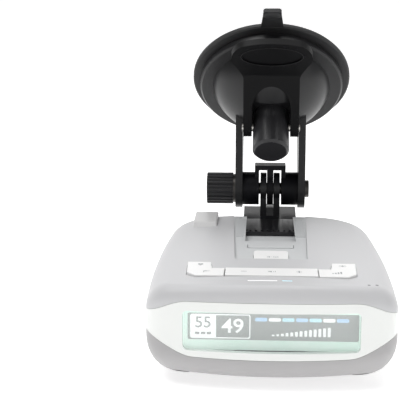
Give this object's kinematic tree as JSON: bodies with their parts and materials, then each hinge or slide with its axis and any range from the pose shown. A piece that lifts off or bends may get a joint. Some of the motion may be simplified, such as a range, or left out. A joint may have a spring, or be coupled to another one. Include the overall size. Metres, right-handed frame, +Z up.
{
  "type": "radar detector",
  "caption": "Dashboard radar detector with a wide front display, surface keys and an internal horn, hung from a tilting suction-cup windshield mount.",
  "frame": {"origin": "centre of the suction face, on the inside of the windshield glass", "axes": "+X to the driver's right, +Y forward in the car towards the windshield, +Z up; the glass normal lies 45 degrees below the horizontal and the detector hangs level"},
  "size_m": [0.0858, 0.1664, 0.1201],
  "materials": {
    "rubber_black": "matt moulded rubber",
    "plastic_black": "satin black moulding",
    "plastic_black_matt": "fine-textured black moulding",
    "steel": "plain steel",
    "steel_dark": "black-oxide steel",
    "brass": "turned brass",
    "cover_pale": "satin pale grey moulding",
    "case_pale": "satin mid-pale grey moulding",
    "bezel_white": "satin white trim",
    "lens_clear": "clear tinted lens",
    "screen": "display glass",
    "tray_blue": "pale blue-grey moulding",
    "key_white": "satin white keys",
    "board_green": "circuit board",
    "chip_black": "moulded package",
    "tin": "tinned sheet",
    "zinc": "die-cast zinc",
    "ceramic_tan": "patch antenna ceramic",
    "lens_dark": "infrared window",
    "cone": "speaker cone and frame"
  },
  "bodies": {
    "mount": {"mount_base": "plastic_black", "suction_pad": "rubber_black", "swivel_yoke": "plastic_black_matt", "clamp_bolt": "steel_dark"},
    "stem": {"stem_post": "plastic_black", "lever_pin": "steel", "return_spring": "steel"},
    "lever": {"cam_lever": "plastic_black"},
    "washer": {"clamp_washer": "steel_dark"},
    "knob": {"clamp_knob": "plastic_black_matt", "knob_nut": "brass"},
    "blade": {"dock_blade": "plastic_black_matt"},
    "detector": {"top_cover": "cover_pale", "bottom_cover": "case_pale", "front_bezel": "bezel_white", "display_lens": "lens_clear", "display_panel": "screen", "display_board": "board_green", "dock_tray": "tray_blue", "spring_post": "chip_black", "key_board": "board_green", "key_switch_1": "tin", "key_switch_2": "tin", "key_switch_3": "tin", "key_switch_4": "tin", "key_switch_5": "tin", "key_switch_6": "tin", "key_switch_7": "tin", "main_board": "board_green", "rf_shield": "tin", "gps_antenna": "ceramic_tan", "processor_chip": "chip_black", "speaker": "cone", "horn_antenna": "zinc", "microwave_module": "zinc", "laser_sensor": "chip_black", "rear_laser_lens": "lens_dark", "ambient_sensor": "lens_dark", "power_jack": "chip_black", "usb_port": "tin", "audio_jack": "chip_black", "cover_screws": "steel", "board_screws": "steel"},
    "mute": {"mute_button": "key_white"},
    "release": {"release_button": "tray_blue", "release_latch": "chip_black", "latch_spring": "steel"},
    "volume": {"volume_rocker": "key_white"},
    "key_left": {"left_key": "key_white"},
    "key_right": {"right_key": "key_white"}
  },
  "joints": [
    {"name": "stem_drop", "type": "slide", "parent": "mount", "child": "stem", "axis": [0, 0.7071, 0.7071], "range_m": [0, 0.002], "deforming": ["return_spring"]},
    {"name": "lever_open", "type": "hinge", "parent": "stem", "child": "lever", "pos_m": [0, -0.0198, -0.0198], "axis": [1, 0, 0], "range_deg": [0, 80]},
    {"name": "clamp_back_off", "type": "slide", "parent": "mount", "child": "washer", "axis": [-1, 0, 0], "range_m": [0, 0.0016]},
    {"name": "knob_turn", "type": "hinge", "parent": "washer", "child": "knob", "pos_m": [-0.02, -0.00537, -0.04808], "axis": [-1, 0, 0], "range_deg": [0, 720]},
    {"name": "detector_tilt", "type": "hinge", "parent": "mount", "child": "blade", "pos_m": [0, -0.00537, -0.04808], "axis": [1, 0, 0], "range_deg": [-45, 25]},
    {"name": "dock_slide", "type": "slide", "parent": "blade", "child": "detector", "axis": [0, -1, 0], "range_m": [0, 0.04]},
    {"name": "mute_press", "type": "slide", "parent": "detector", "child": "mute", "axis": [0, 0, -1], "range_m": [0, 0.0006], "stiffness_N_per_m": 300},
    {"name": "release_press", "type": "slide", "parent": "detector", "child": "release", "axis": [0, 0, -1], "range_m": [0, 0.0008], "stiffness_N_per_m": 400, "deforming": ["latch_spring"]},
    {"name": "volume_rock", "type": "hinge", "parent": "detector", "child": "volume", "pos_m": [0, -0.12197, -0.05918], "axis": [0, 1, 0], "range_deg": [-2, 2], "stiffness_Nm_per_rad": 0.08},
    {"name": "left_key_press", "type": "slide", "parent": "detector", "child": "key_left", "axis": [0, 0, -1], "range_m": [0, 0.0006], "stiffness_N_per_m": 300},
    {"name": "right_key_press", "type": "slide", "parent": "detector", "child": "key_right", "axis": [0, 0, -1], "range_m": [0, 0.0006], "stiffness_N_per_m": 300}
  ],
  "couplings": [
    {"joint": "stem_drop", "follows": "lever_open", "m_per_rad": 0.0014323},
    {"joint": "knob_turn", "follows": "clamp_back_off", "rad_per_m": 7853.9}
  ]
}
